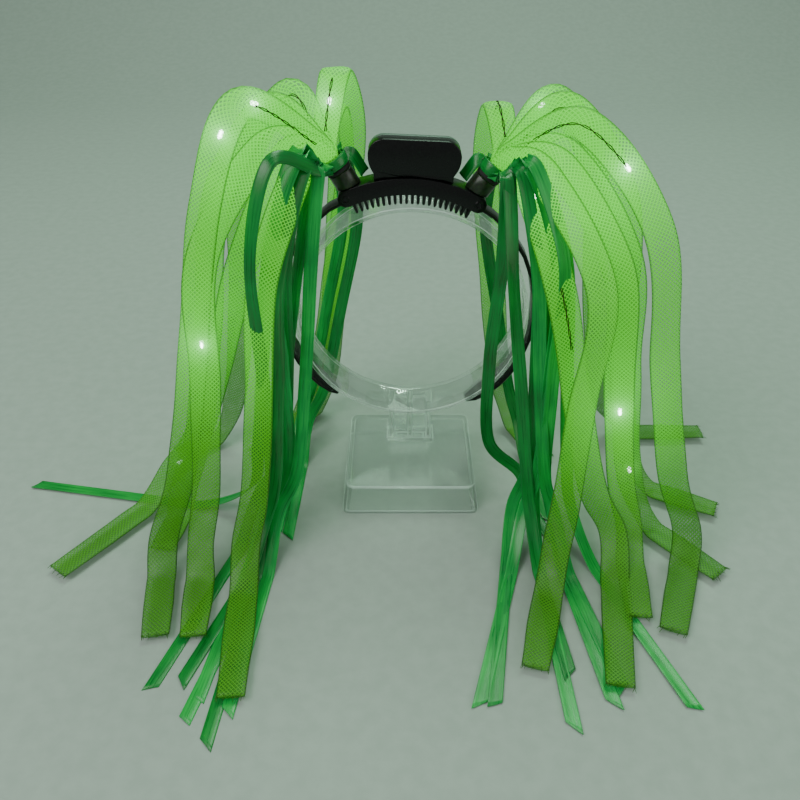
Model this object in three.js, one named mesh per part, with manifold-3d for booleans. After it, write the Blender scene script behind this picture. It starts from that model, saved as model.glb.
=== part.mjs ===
// Light-up noodle headband resting on a clear ring stand.
// Millimetres, +Z up, the front faces -Y, the floor is z = 0.
import * as THREE from 'three';
import { mergeVertices } from 'three/addons/utils/BufferGeometryUtils.js';
import Module from 'manifold-3d';

const wasm = await Module();
wasm.setup();

// Gap kept between neighbouring pieces
const clearance = 0.3;

// Clear stand: a hollow tapered foot, a ribbed post and a ring
const footX = 82;
const footY = 80;
const footTopX = 76.5;
const footTopY = 72.5;
const footHeight = 18;
const footCorner = 5;
const standWall = 2.5;
const postWidth = 25.5;
const postDepth = 11;
const postRib = 2.6;
const postHeight = 29.8;
const postY = 14;
const tongueWidth = 17;
const tongueThick = 4;
const postCollarRim = 2;
const postCollarHeight = 3;
const ringRadius = 65;
const ringWall = 2.3;
const ringWidth = 27.3;
const ringY = 9.4;

// Sprung hoop of the headband, rolled a little on the ring
const roll = 2.6;
const headbandShift = -3;
const bandY = 2.5;
const hoopThick = 2.2;
const hoopWidth = 17.5;
const hoopTopGap = 7.1;
const hoopSideGapLeft = 6.3;
const hoopSideGapRight = 2;
const hoopTipGapLeft = 1.6;
const hoopTipGapRight = 0.6;
const hoopTipAngle = 146;
const hoopSideAngle = 88;

// Comb bridge clipped over the top of the hoop
const bridgeDepth = 13;
const bridgeAngle = 27;
const bridgeFloorGap = 5;
const bridgeThick = 8.5;
const toothCount = 21;
const toothEndAngle = 2;
const toothWidth = 1.45;
const toothGap = 0.3;
const studRadius = 2.1;
const studProud = 0.5;
const studRimWidth = 0.7;

// Battery box on top of the bridge
const boxWidth = 46.5;
const boxNeck = 40;
const boxHeight = 18.6;
const boxWaistShare = 0.06;
const boxWideShare = 0.55;
const boxCornerShare = 0.43;
const boxDepth = 10.4;
const coverThick = 2.8;

// Sleeves that hold the strands, and the bands wound round their necks
const sleeveAngle = 24.5;
const sleeveLeanAngle = 33;
const sleeveRadius = 6.4;
const sleeveWall = 1.2;
const sleeveHeight = 8;
const sleeveFloor = 1.6;
const bandHeight = 2.2;
const bandWall = 1.4;
const wrapHeight = 5;
const wrapWall = 2;

// Strands: mesh tubes and satin ribbons
const noodleWidth = 15.5;
const noodleThick = 4.6;
const ribbonWidth = 6.6;
const ribbonThick = 1;
const strandOut = 100;
const strandFore = 100;
const archRise = 50;
const shoulderDrop = 42;
const noodleLead = 12;
const ribbonLead = 5;
const layerStep = 0.04;
const touchHeight = 20;
const loopWidth = 7;
const loopLeanAngle = 55;
const loopFootAngle = 17.5;

// Round sections are drawn with these numbers of sides
const ringSides = 52;
const sleeveSides = 16;
const hoopSteps = 30;
const NOODLE_STEPS = [1, 2, 3, 2, 2, 1, 2, 1, 1];
const RIBBON_STEPS = [1, 2, 2, 1, 2, 1, 2, 1, 1];

// Where the hoop is wide and narrow: share of its half length, share of its width
const HOOP_WIDTHS = [
  { along: 0.0, width: 0.56 },
  { along: 0.22, width: 0.6 },
  { along: 0.6, width: 0.74 },
  { along: 0.84, width: 1.0 },
  { along: 0.94, width: 0.92 },
  { along: 0.985, width: 0.6 },
  { along: 1.0, width: 0.34 },
];

// Mesh tubes: how far out and fore each hangs, how high it arches and how soon it bows out.
// land is out and fore where it meets the floor, tip where it ends. Out, fore and sway are shares
// of strandOut and strandFore, rise of archRise.
const LEFT_NOODLES = [
  { out: 0.55, fore: 0.48, rise: 0.68, bow: 0.66, land: [0.97, 0.84], tip: [0.89, 1.35] },
  { out: 0.58, fore: 0.52, rise: 0.25, bow: 0.5, land: [0.75, 0.86], tip: [0.7, 1.35] },
  { out: 0.32, fore: 0.5, rise: -0.05, bow: 0.5, land: [0.5, 0.88], tip: [0.45, 1.7] },
  { out: 0.42, fore: 0.4, rise: 0.1, bow: 0.5, land: [1.08, 0.28], tip: [1.53, 0.92] },
  { out: 0.56, fore: 0.18, rise: 0.52, bow: 0.5, land: [0.95, 0.42], tip: [1.0, 0.75] },
  { out: 0.5, fore: -0.3, rise: 0.55, bow: 0.4, land: [0.8, -0.3], tip: [1.1, -0.1] },
  { out: -0.08, fore: -0.46, rise: 0.74, bow: 0.4, land: [0.3, -0.48], tip: [0.6, -0.1] },
  { out: 0.0, fore: -0.6, rise: 0.32, bow: 0.5, land: [0.2, -0.66], tip: [0.45, -0.35] },
];
const RIGHT_NOODLES = [
  { out: 0.72, fore: 0.48, rise: 0.54, bow: 0.5, land: [1.12, 0.78], tip: [0.9, 1.32] },
  { out: 0.6, fore: 0.43, rise: 0.24, bow: 0.5, land: [0.9, 0.5], tip: [1.26, 0.94] },
  { out: 0.46, fore: 0.6, rise: 0.06, bow: 0.45, land: [0.34, 0.95], tip: [0.17, 1.54] },
  { out: 0.56, fore: 0.5, rise: 0.14, bow: 0.5, land: [0.8, 0.74], tip: [0.75, 1.23] },
  { out: 0.3, fore: 0.5, rise: -0.1, bow: 0.5, land: [0.71, 0.8], tip: [0.56, 1.64] },
  { out: 0.62, fore: 0.15, rise: 0.6, bow: 0.5, land: [0.95, 0.2], tip: [1.4, 0.43] },
  { out: 0.58, fore: -0.35, rise: 0.55, bow: 0.5, land: [0.9, -0.32], tip: [1.54, -0.33] },
  { out: 0.0, fore: -0.46, rise: 0.48, bow: 0.4, land: [0.25, -0.5], tip: [0.45, -0.05] },
];

// Satin ribbons, with the same columns and the sideways sway of each at half height
const LEFT_RIBBONS = [
  { out: 0.36, fore: 0.4, rise: 0.1, bow: 0.68, sway: -0.04, land: [0.42, 0.62], tip: [0.53, 1.92] },
  { out: 0.28, fore: 0.32, rise: 0.06, sway: -0.06, land: [0.36, 0.56], tip: [0.65, 1.8] },
  { out: 0.22, fore: 0.25, rise: 0.0, sway: -0.08, land: [0.5, 0.5], tip: [0.85, 1.63] },
  { out: 0.16, fore: 0.22, rise: -0.04, sway: 0.02, land: [0.45, 0.5], tip: [0.61, 1.69] },
  { out: -0.1, fore: -0.3, rise: -0.06, sway: 0.0, land: [0.28, -0.22], tip: [0.31, 0.62] },
  { out: -0.02, fore: -0.34, rise: -0.04, sway: 0.02, land: [0.33, -0.27], tip: [0.38, 0.55] },
  { out: 0.3, fore: 0.28, rise: 0.1, sway: 0.0, land: [0.55, 0.42], tip: [1.93, 0.17] },
  { out: 0.24, fore: 0.36, rise: -0.08, sway: -0.02, land: [0.42, 0.72], tip: [0.71, 1.6] },
  { out: 0.1, fore: 0.26, rise: -0.1, sway: -0.04, land: [0.36, 0.66], tip: [0.46, 1.76] },
];
const RIGHT_RIBBONS = [
  { out: 0.03, fore: 0.19, rise: -0.1, bow: 0.9, sway: -0.14, land: [0.25, 0.3], tip: [0.4, 0.65] },
  { out: 0.28, fore: 0.32, rise: 0.02, sway: 0.04, land: [0.2, 0.66], tip: [-0.11, 1.72] },
  { out: 0.2, fore: 0.25, rise: -0.02, sway: 0.06, land: [0.15, 0.6], tip: [-0.04, 1.72] },
  { out: 0.25, fore: 0.22, rise: 0.05, sway: 0.0, land: [0.28, 0.58], tip: [0.31, 1.84] },
  { out: 0.3, fore: 0.38, rise: 0.1, sway: -0.04, land: [0.38, 0.6], tip: [0.52, 1.72] },
  { out: 0.33, fore: 0.28, rise: 0.05, sway: 0.0, land: [0.5, 0.6], tip: [0.89, 1.74] },
  { out: 0.0, fore: -0.3, rise: -0.06, sway: 0.02, land: [0.3, -0.22], tip: [0.4, 0.5] },
  { out: 0.07, fore: 0.28, rise: -0.06, sway: 0.02, land: [0.26, 0.68], tip: [0.34, 1.56] },
  { out: 0.19, fore: 0.32, rise: -0.02, sway: -0.02, land: [0.4, 0.68], tip: [0.58, 1.64] },
];

const radians = THREE.MathUtils.degToRad;
const ringCentreZ = footHeight + postHeight + ringRadius;

// The headband sits off centre, lifted until its end tooth clears the ring
const lastTooth = bridgeAngle - toothEndAngle;
const toothPitchAngle = (2 * lastTooth) / (toothCount - 1);
const headbandLift = -headbandShift * Math.tan(radians(lastTooth + roll));
const headbandZ = ringCentreZ + headbandLift;
const up = new THREE.Vector3(0, 0, 1);

// Solids

function toSolid(geometry, weld = 0.0001) {
  const bare = geometry.clone();
  bare.deleteAttribute('normal');
  bare.deleteAttribute('uv');
  const merged = mergeVertices(bare, weld);
  return new wasm.Manifold(new wasm.Mesh({
    numProp: 3,
    vertProperties: new Float32Array(merged.attributes.position.array),
    triVerts: new Uint32Array(merged.index.array),
  }));
}

function toGeometry(solid) {
  const mesh = solid.getMesh();
  const geometry = new THREE.BufferGeometry();
  const points = new Float32Array(mesh.vertProperties);
  geometry.setAttribute('position', new THREE.BufferAttribute(points, 3));
  geometry.setIndex(new THREE.BufferAttribute(new Uint32Array(mesh.triVerts), 1));
  geometry.computeVertexNormals();
  return geometry;
}

// A closed skin through rings of points, each ring running anticlockwise about the way ahead
function loft(rings) {
  const sides = rings[0].length;
  const faces = [];
  for (let i = 0; i < rings.length - 1; i += 1) {
    for (let j = 0; j < sides; j += 1) {
      const a = i * sides + j;
      const b = i * sides + ((j + 1) % sides);
      faces.push(a, b, b + sides, a, b + sides, a + sides);
    }
  }
  const last = (rings.length - 1) * sides;
  for (let j = 1; j < sides - 1; j += 1) {
    faces.push(0, j + 1, j, last, last + j, last + j + 1);
  }
  const geometry = new THREE.BufferGeometry().setFromPoints(rings.flat());
  geometry.setIndex(faces);
  return geometry;
}

// A shape drawn in X and Z, made solid from frontY to backY
function plateAlongY(shape, frontY, backY, sides = 12) {
  const depth = backY - frontY;
  const options = { depth, bevelEnabled: false, curveSegments: sides };
  return new THREE.ExtrudeGeometry(shape, options).rotateX(Math.PI / 2).translate(0, backY, 0);
}

// A shape drawn in X and Y, made solid from bottomZ to topZ
function plateAlongZ(shape, bottomZ, topZ) {
  const options = { depth: topZ - bottomZ, bevelEnabled: false, curveSegments: 6 };
  return new THREE.ExtrudeGeometry(shape, options).translate(0, 0, bottomZ);
}

function rectangle(width, depth, centreX = 0, centreY = 0) {
  const shape = new THREE.Shape();
  shape.moveTo(centreX - width / 2, centreY - depth / 2);
  shape.lineTo(centreX + width / 2, centreY - depth / 2);
  shape.lineTo(centreX + width / 2, centreY + depth / 2);
  shape.lineTo(centreX - width / 2, centreY + depth / 2);
  shape.closePath();
  return shape;
}

// Stand

function roundedRing(width, depth, corner, z) {
  const points = [];
  const turns = 4;
  for (let quarter = 0; quarter < 4; quarter += 1) {
    const sx = quarter === 0 || quarter === 3 ? 1 : -1;
    const sy = quarter < 2 ? 1 : -1;
    for (let step = 0; step <= turns; step += 1) {
      const angle = (quarter + step / turns) * (Math.PI / 2);
      const x = sx * (width / 2 - corner) + corner * Math.cos(angle);
      const y = sy * (depth / 2 - corner) + corner * Math.sin(angle);
      points.push(new THREE.Vector3(x, y, z));
    }
  }
  return points;
}

function standBase() {
  const taperX = (footX - footTopX) / footHeight;
  const taperY = (footY - footTopY) / footHeight;
  const roof = footHeight - standWall;
  const inset = 2 * standWall;
  const outer = loft([
    roundedRing(footX, footY, footCorner, 0),
    roundedRing(footTopX, footTopY, footCorner, footHeight),
  ]);
  const below = -1;
  const innerCorner = footCorner - standWall;
  const inner = loft([
    roundedRing(footX - inset - taperX * below, footY - inset - taperY * below, innerCorner, below),
    roundedRing(footX - inset - taperX * roof, footY - inset - taperY * roof, innerCorner, roof),
  ]);
  const slotWidth = tongueWidth + 2 * clearance;
  const slotDepth = tongueThick + 2 * clearance;
  const slot = plateAlongZ(rectangle(slotWidth, slotDepth, 0, postY), roof - 1, footHeight + 1);
  return toSolid(outer).subtract(toSolid(inner)).subtract(toSolid(slot));
}

function standRing() {
  const circle = new THREE.Shape();
  circle.absarc(0, 0, ringRadius, 0, 2 * Math.PI);
  const hole = new THREE.Path();
  hole.absarc(0, 0, ringRadius - ringWall, 0, 2 * Math.PI);
  circle.holes.push(hole);
  const ring = plateAlongY(circle, ringY - ringWidth / 2, ringY + ringWidth / 2, ringSides / 2);
  ring.translate(0, 0, ringCentreZ);
  const seat = footHeight + clearance;
  const top = ringCentreZ - ringRadius + ringWall * 0.75;
  const railX = postWidth / 2 - postRib / 2;
  const bars = [
    plateAlongZ(rectangle(postWidth, postRib, 0, postY), seat, top),
    plateAlongZ(rectangle(postRib, postDepth, -railX, postY), seat, top),
    plateAlongZ(rectangle(postRib, postDepth, railX, postY), seat, top),
    plateAlongZ(rectangle(postRib, postDepth, 0, postY), seat, top),
    plateAlongZ(
      rectangle(postWidth + 2 * postCollarRim, postDepth + 2 * postCollarRim, 0, postY),
      seat,
      seat + postCollarHeight,
    ),
    plateAlongZ(
      rectangle(tongueWidth, tongueThick, 0, postY),
      footHeight - standWall,
      seat + postCollarHeight,
    ),
  ];
  let solid = toSolid(ring);
  for (const bar of bars) {
    solid = solid.add(toSolid(bar));
  }
  return solid;
}

// Headband, drawn round the ring's axis with the top of the head straight up

function blend(from, to, share) {
  const s = THREE.MathUtils.smoothstep(share, 0, 1);
  return from + (to - from) * s;
}

function tableAt(rows, key, value, at) {
  let i = 0;
  while (i < rows.length - 2 && at > rows[i + 1][key]) {
    i += 1;
  }
  const share = (at - rows[i][key]) / (rows[i + 1][key] - rows[i][key]);
  return THREE.MathUtils.lerp(rows[i][value], rows[i + 1][value], THREE.MathUtils.clamp(share, 0, 1));
}

// How far the ring reaches from the headband's own centre, at an angle from the top
function ringReach(angle) {
  const a = radians(angle + roll);
  return ringRadius - headbandShift * Math.sin(a) - headbandLift * Math.cos(a);
}

// Inner radius of the hoop at an angle from the top, positive on the right
function hoopRadius(angle) {
  const away = Math.abs(angle);
  const sideGap = angle < 0 ? hoopSideGapLeft : hoopSideGapRight;
  const tipGap = angle < 0 ? hoopTipGapLeft : hoopTipGapRight;
  const holdAngle = bridgeAngle + 4;
  const top = ringRadius + hoopTopGap;
  if (away < holdAngle) {
    return top;
  }
  if (away < hoopSideAngle) {
    const sideRadius = ringReach(Math.sign(angle) * hoopSideAngle) + sideGap;
    return blend(top, sideRadius, (away - holdAngle) / (hoopSideAngle - holdAngle));
  }
  const share = (away - hoopSideAngle) / (hoopTipAngle - hoopSideAngle);
  return ringReach(angle) + blend(sideGap, tipGap, share);
}

function hoopSection(angle, grow) {
  const a = radians(angle);
  const inner = hoopRadius(angle) - grow;
  const outer = inner + hoopThick + 2 * grow;
  const along = Math.abs(angle) / hoopTipAngle;
  const half = (hoopWidth * tableAt(HOOP_WIDTHS, 'along', 'width', along)) / 2 + grow;
  const chamfer = hoopThick * 0.3;
  const corners = [
    [inner, half - chamfer],
    [inner + chamfer, half],
    [outer - chamfer, half],
    [outer, half - chamfer],
    [outer, -half + chamfer],
    [outer - chamfer, -half],
    [inner + chamfer, -half],
    [inner, -half + chamfer],
  ];
  return corners.map(([r, y]) => new THREE.Vector3(r * Math.sin(a), bandY + y, r * Math.cos(a)));
}

function hoop(grow = 0) {
  const rings = [];
  for (let i = 0; i <= hoopSteps; i += 1) {
    // Sections crowd towards the round tips
    const share = (2 * i) / hoopSteps - 1;
    const angle = hoopTipAngle * Math.sign(share) * (1 - (1 - Math.abs(share)) ** 1.25);
    rings.push(hoopSection(angle, grow));
  }
  return toSolid(loft(rings));
}

function polar(radius, angle) {
  return new THREE.Vector2(radius * Math.sin(radians(angle)), radius * Math.cos(radians(angle)));
}

function arcPoints(radius, fromAngle, toAngle, steps) {
  const points = [];
  for (let i = 0; i <= steps; i += 1) {
    points.push(polar(radius, fromAngle + ((toAngle - fromAngle) * i) / steps));
  }
  return points;
}

// Half-round end of the bridge, from its outside to its inside or back
function lugPoints(side, outward) {
  const floorRadius = ringRadius + bridgeFloorGap;
  const centre = polar(floorRadius + bridgeThick / 2, side * bridgeAngle);
  const points = [];
  const steps = 6;
  for (let i = 1; i < steps; i += 1) {
    const turn = outward ? steps - i : i;
    const angle = radians(side * (bridgeAngle + (180 * turn) / steps));
    const reach = new THREE.Vector2(Math.sin(angle), Math.cos(angle)).multiplyScalar(bridgeThick / 2);
    points.push(centre.clone().add(reach));
  }
  return points;
}

// One comb tooth with a round tip, root to root from right to left
function toothPoints(angle) {
  const root = ringRadius + bridgeFloorGap;
  const tip = ringRadius + toothGap;
  const half = toothWidth / 2;
  const place = (across, radius) => {
    const a = radians(angle);
    const x = radius * Math.sin(a) + across * Math.cos(a);
    const z = radius * Math.cos(a) - across * Math.sin(a);
    return new THREE.Vector2(x, z);
  };
  return [
    place(half, root),
    place(half, tip + half),
    place(half * 0.5, tip),
    place(-half * 0.5, tip),
    place(-half, tip + half),
    place(-half, root),
  ];
}

function combBridge() {
  const floorRadius = ringRadius + bridgeFloorGap;
  const outline = [
    ...arcPoints(floorRadius + bridgeThick, -bridgeAngle, bridgeAngle, 16),
    ...lugPoints(1, false),
    polar(floorRadius, bridgeAngle),
  ];
  for (let i = 0; i < toothCount; i += 1) {
    outline.push(...toothPoints(lastTooth - i * toothPitchAngle));
  }
  outline.push(polar(floorRadius, -bridgeAngle), ...lugPoints(-1, true));
  const front = bandY - bridgeDepth / 2;
  const block = toSolid(plateAlongY(new THREE.Shape(outline), front, front + bridgeDepth));
  let solid = block.subtract(hoop(clearance));
  for (const side of [-1, 1]) {
    solid = solid.add(studRing(side, front));
  }
  return solid;
}

// Round boss with a sunk middle on the front of each lug
function studRing(side, front) {
  const centre = polar(ringRadius + bridgeFloorGap + bridgeThick / 2, side * bridgeAngle);
  const disc = new THREE.Shape();
  disc.absarc(0, 0, studRadius, 0, 2 * Math.PI);
  const sunk = new THREE.Path();
  sunk.absarc(0, 0, studRadius - studRimWidth, 0, 2 * Math.PI);
  disc.holes.push(sunk);
  const buried = clearance;
  return toSolid(plateAlongY(disc, front - studProud, front + buried, 6).translate(centre.x, 0, centre.y));
}

// Outline of the battery box, its foot sunk to the bridge and cut to it afterwards
function boxOutline() {
  const foot = ringRadius + bridgeFloorGap + bridgeThick;
  const top = foot + boxHeight;
  const boxCorner = boxHeight * boxCornerShare;
  const neckZ = foot + boxHeight * boxWaistShare;
  const wideZ = foot + boxHeight * boxWideShare;
  const half = boxWidth / 2;
  const shape = new THREE.Shape();
  shape.moveTo(-boxNeck / 2, foot - boxCorner);
  shape.lineTo(boxNeck / 2, foot - boxCorner);
  shape.lineTo(boxNeck / 2, neckZ);
  shape.quadraticCurveTo(half, neckZ + (wideZ - neckZ) * 0.45, half, wideZ);
  shape.lineTo(half, top - boxCorner);
  shape.absarc(half - boxCorner, top - boxCorner, boxCorner, 0, Math.PI / 2);
  shape.lineTo(-half + boxCorner, top);
  shape.absarc(-half + boxCorner, top - boxCorner, boxCorner, Math.PI / 2, Math.PI);
  shape.lineTo(-half, wideZ);
  shape.quadraticCurveTo(-half, neckZ + (wideZ - neckZ) * 0.45, -boxNeck / 2, neckZ);
  shape.closePath();
  return shape;
}

// Everything within the bridge's outer curve, grown by the gap
function bridgeCutter() {
  const radius = ringRadius + bridgeFloorGap + bridgeThick + clearance;
  const reach = 2 * boxDepth;
  const circle = new THREE.Shape();
  circle.absarc(0, 0, radius, 0, 2 * Math.PI);
  return toSolid(plateAlongY(circle, bandY - reach, bandY + reach, 80));
}

function batteryCase() {
  const front = bandY - boxDepth / 2;
  const back = bandY + boxDepth / 2 - coverThick - clearance;
  return toSolid(plateAlongY(boxOutline(), front, back, 5)).subtract(bridgeCutter());
}

function batteryCover() {
  const back = bandY + boxDepth / 2;
  return toSolid(plateAlongY(boxOutline(), back - coverThick, back, 5)).subtract(bridgeCutter());
}

// Sleeves and bands, turned round the neck's own axis

// The neck's foot and direction on one side, round the ring's axis
function neckFrame(side) {
  const foot = polar(ringRadius + bridgeFloorGap + bridgeThick + clearance, side * sleeveAngle);
  const way = polar(1, side * sleeveLeanAngle);
  const turn = new THREE.Quaternion().setFromUnitVectors(up, new THREE.Vector3(way.x, 0, way.y));
  return { foot: new THREE.Vector3(foot.x, bandY, foot.y), turn };
}

function turned(profile, side) {
  const { foot, turn } = neckFrame(side);
  const points = profile.map(([r, z]) => new THREE.Vector2(r, z));
  const geometry = new THREE.LatheGeometry([...points, points[0]], sleeveSides).rotateX(Math.PI / 2);
  return toSolid(geometry.applyQuaternion(turn).translate(foot.x, foot.y, foot.z));
}

function sleeve(side) {
  const inner = sleeveRadius - sleeveWall;
  const buried = -3;
  const profile = [
    [0, buried],
    [sleeveRadius, buried],
    [sleeveRadius, sleeveHeight],
    [inner, sleeveHeight],
    [inner, sleeveFloor],
    [0, sleeveFloor],
  ];
  return turned(profile, side).subtract(bridgeCutter());
}

const neckRadius = sleeveRadius - sleeveWall - clearance;
const wrapInner = neckRadius + clearance;
const bandFoot = sleeveHeight + clearance;
const wrapFoot = bandFoot + bandHeight + clearance;
const neckTop = wrapFoot + wrapHeight;

function hollowBand(side, foot, height, wall) {
  const profile = [
    [wrapInner, foot],
    [wrapInner + wall, foot],
    [wrapInner + wall, foot + height],
    [wrapInner, foot + height],
  ];
  return turned(profile, side);
}

// Strands, drawn in the world

// A point of the headband's own frame, in the world
function rolled(point) {
  return point.clone().applyAxisAngle(new THREE.Vector3(0, 1, 0), radians(roll))
    .add(new THREE.Vector3(headbandShift, 0, headbandZ));
}

// The point at a height along the neck, and the neck's direction, in the world
function neckAt(side, height) {
  const { foot, turn } = neckFrame(side);
  const along = up.clone().applyQuaternion(turn);
  const point = rolled(foot.clone().addScaledVector(along, height));
  return { point, along: along.applyAxisAngle(new THREE.Vector3(0, 1, 0), radians(roll)) };
}

// The few points that one strand runs through, from its neck to its tip
function strandRoute(row, side, root, lead, leadLength, restZ) {
  const tie = neckAt(side, neckTop).point;
  const plan = (out, fore, z) => new THREE.Vector3(
    tie.x + side * out * strandOut,
    tie.y - fore * strandFore,
    z,
  );
  const bow = row.bow ?? 0.5;
  const sway = row.sway ?? 0;
  const archZ = tie.z + row.rise * archRise;
  const shoulderZ = archZ - shoulderDrop;
  const [landOut, landFore] = row.land;
  const [tipOut, tipFore] = row.tip;
  const midOut = (share) => row.out + (landOut - row.out) * share;
  const midFore = (share) => row.fore + (landFore - row.fore) * share;
  const lying = (share) => plan(
    landOut + (tipOut - landOut) * share,
    landFore + (tipFore - landFore) * share,
    restZ,
  );
  const arch = plan(row.out * bow, row.fore * bow, archZ);
  const start = arch.clone().sub(root).normalize().add(lead).normalize();
  return [
    root,
    root.clone().addScaledVector(start, leadLength),
    arch,
    plan(row.out, row.fore, shoulderZ),
    plan(midOut(0.3) + sway * 0.7, midFore(0.35), shoulderZ * 0.64),
    plan(midOut(0.62) + sway, midFore(0.7), shoulderZ * 0.3),
    plan(midOut(0.94), midFore(0.95), touchHeight),
    lying(0.25),
    lying(0.6),
    lying(1),
  ];
}

// Where the stations lie, counted in spans from the neck
function stationTimes(spanSteps) {
  const times = [0];
  spanSteps.forEach((steps, span) => {
    for (let i = 1; i <= steps; i += 1) {
      times.push(span + i / steps);
    }
  });
  return times;
}

// Stations along a route: the point, the way ahead and the strand's width direction
function stations(route, spanSteps, widthAt, hangWidth, restZ) {
  const curve = new THREE.CatmullRomCurve3(route, false, 'catmullrom', 0.5);
  const spans = route.length - 1;
  const tail = route[spans].clone().sub(route[spans - 2]);
  const tailWidth = new THREE.Vector3(-tail.y, tail.x, 0).normalize();
  if (tailWidth.dot(hangWidth) < 0) {
    tailWidth.negate();
  }
  const list = [];
  for (const t of stationTimes(spanSteps)) {
    const point = curve.getPoint(t / spans);
    point.z = Math.max(point.z, restZ);
    const ahead = curve.getTangent(t / spans);
    if (t > spans - 2) {
      ahead.setZ(0).normalize();
    }
    const toTail = THREE.MathUtils.smoothstep(t, 5, 7);
    const width = widthAt(t, ahead).lerp(tailWidth, toTail);
    width.addScaledVector(ahead, -width.dot(ahead)).normalize();
    list.push({ point, ahead, width, along: t / spans });
  }
  return list;
}

// A closed strip through the stations, of the section that the size function gives
function strip(list, sizeAt, corners) {
  const rings = list.map((station) => {
    const { wide, thick } = sizeAt(station.along);
    const normal = new THREE.Vector3().crossVectors(station.ahead, station.width);
    return corners.map(([x, y]) => station.point.clone()
      .addScaledVector(station.width, x * wide)
      .addScaledVector(normal, y * thick));
  });
  return toSolid(loft(rings));
}

// Sections as shares of the width and thickness
const tubeCorners = [[0.5, 0], [0.32, 0.5], [-0.32, 0.5], [-0.5, 0], [-0.32, -0.5], [0.32, -0.5]];
const ribbonCorners = [[0.5, -0.5], [0.5, 0.5], [-0.5, 0.5], [-0.5, -0.5]];

// Mesh tubes leave the neck narrow, are fullest over the arch and lie flat at the end
const NOODLE_SIZES = [
  { along: 0.0, width: 0.36, thick: 1.0 },
  { along: 0.11, width: 0.68, thick: 1.1 },
  { along: 0.22, width: 0.94, thick: 1.15 },
  { along: 0.56, width: 0.94, thick: 0.9 },
  { along: 0.89, width: 1.0, thick: 0.8 },
  { along: 1.0, width: 0.88, thick: 0.5 },
];

function noodleStations(row, side, layer) {
  const { point, along } = neckAt(side, neckTop - 1);
  const lift = ribbonThick + 2 * clearance;
  const restZ = lift + noodleThick / 2 + layer * layerStep;
  const outward = new THREE.Vector3(side, 0, 0);
  const route = strandRoute(row, side, point, along, noodleLead, restZ);
  // A tube that arches outward keeps its flat side to the front, one that arches back does not
  const widthAt = (t, ahead) => (row.out > 0.2
    ? new THREE.Vector3(-ahead.z * side, 0, ahead.x * side).normalize()
    : outward.clone());
  return stations(route, NOODLE_STEPS, widthAt, outward, restZ);
}

function noodle(row, side, layer) {
  const sizeAt = (along) => ({
    wide: noodleWidth * tableAt(NOODLE_SIZES, 'along', 'width', along),
    thick: noodleThick * tableAt(NOODLE_SIZES, 'along', 'thick', along),
  });
  return strip(noodleStations(row, side, layer), sizeAt, tubeCorners);
}

function ribbonStations(row, side, layer) {
  const rootShare = 0.15 + (0.7 * layer) / (LEFT_RIBBONS.length - 1);
  const { point, along } = neckAt(side, wrapFoot + wrapHeight * rootShare);
  const toward = new THREE.Vector3(side * row.out, -row.fore, 0);
  toward.addScaledVector(along, -toward.dot(along)).normalize();
  const root = point.clone().addScaledVector(toward, wrapInner + wrapWall / 2);
  const lead = toward.clone().addScaledVector(along, 0.35).normalize();
  const restZ = ribbonThick / 2 + layer * layerStep;
  const outward = new THREE.Vector3(side, 0, 0);
  const firstWidth = new THREE.Vector3().crossVectors(lead, up).normalize();
  if (firstWidth.dot(outward) < 0) {
    firstWidth.negate();
  }
  const route = strandRoute(row, side, root, lead, ribbonLead, restZ);
  const widthAt = (t) => firstWidth.clone().lerp(outward, THREE.MathUtils.smoothstep(t, 2, 3.5));
  return stations(route, RIBBON_STEPS, widthAt, outward, restZ);
}

function ribbon(row, side, layer, grow) {
  const sizeAt = () => ({ wide: ribbonWidth + 2 * grow, thick: ribbonThick + 2 * grow });
  return strip(ribbonStations(row, side, layer), sizeAt, ribbonCorners);
}

// The short loop of the tie, from the wrap over to the bridge beside the battery box
function tieLoop(side, grow) {
  const { point, along } = neckAt(side, wrapFoot + wrapHeight * 0.6);
  const inward = new THREE.Vector3(-side, 0, 0);
  inward.addScaledVector(along, -inward.dot(along)).normalize();
  const surface = ringRadius + bridgeFloorGap + bridgeThick;
  const lean = radians(loopLeanAngle);
  const rise = (loopWidth * Math.sin(lean) + ribbonThick) / 2;
  const foot = polar(surface + clearance + rise, side * loopFootAngle);
  const end = rolled(new THREE.Vector3(foot.x, bandY, foot.y));
  const root = point.clone().addScaledVector(inward, wrapInner + wrapWall / 2);
  const crown = root.clone().lerp(end, 0.4).addScaledVector(up, loopWidth * 0.8);
  const curve = new THREE.CatmullRomCurve3([root, crown, end]);
  const width = new THREE.Vector3(0, Math.cos(lean), Math.sin(lean));
  const list = [0, 0.25, 0.5, 0.75, 1].map((t) => {
    const ahead = curve.getTangent(t);
    const across = width.clone().addScaledVector(ahead, -width.dot(ahead)).normalize();
    return { along: t, point: curve.getPoint(t), ahead, width: across };
  });
  const sizeAt = () => ({ wide: loopWidth + 2 * grow, thick: ribbonThick + 2 * grow });
  return strip(list, sizeAt, ribbonCorners);
}

// The solid of a headband piece, in the world
function inWorld(solid) {
  return solid.rotate([0, roll, 0]).translate([headbandShift, 0, headbandZ]);
}

function ribbons(rows, side) {
  let solid = inWorld(hollowBand(side, wrapFoot, wrapHeight, wrapWall)).add(tieLoop(side, 0));
  rows.forEach((row, layer) => {
    solid = solid.add(ribbon(row, side, layer, 0));
  });
  return mainBody(solid);
}

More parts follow.
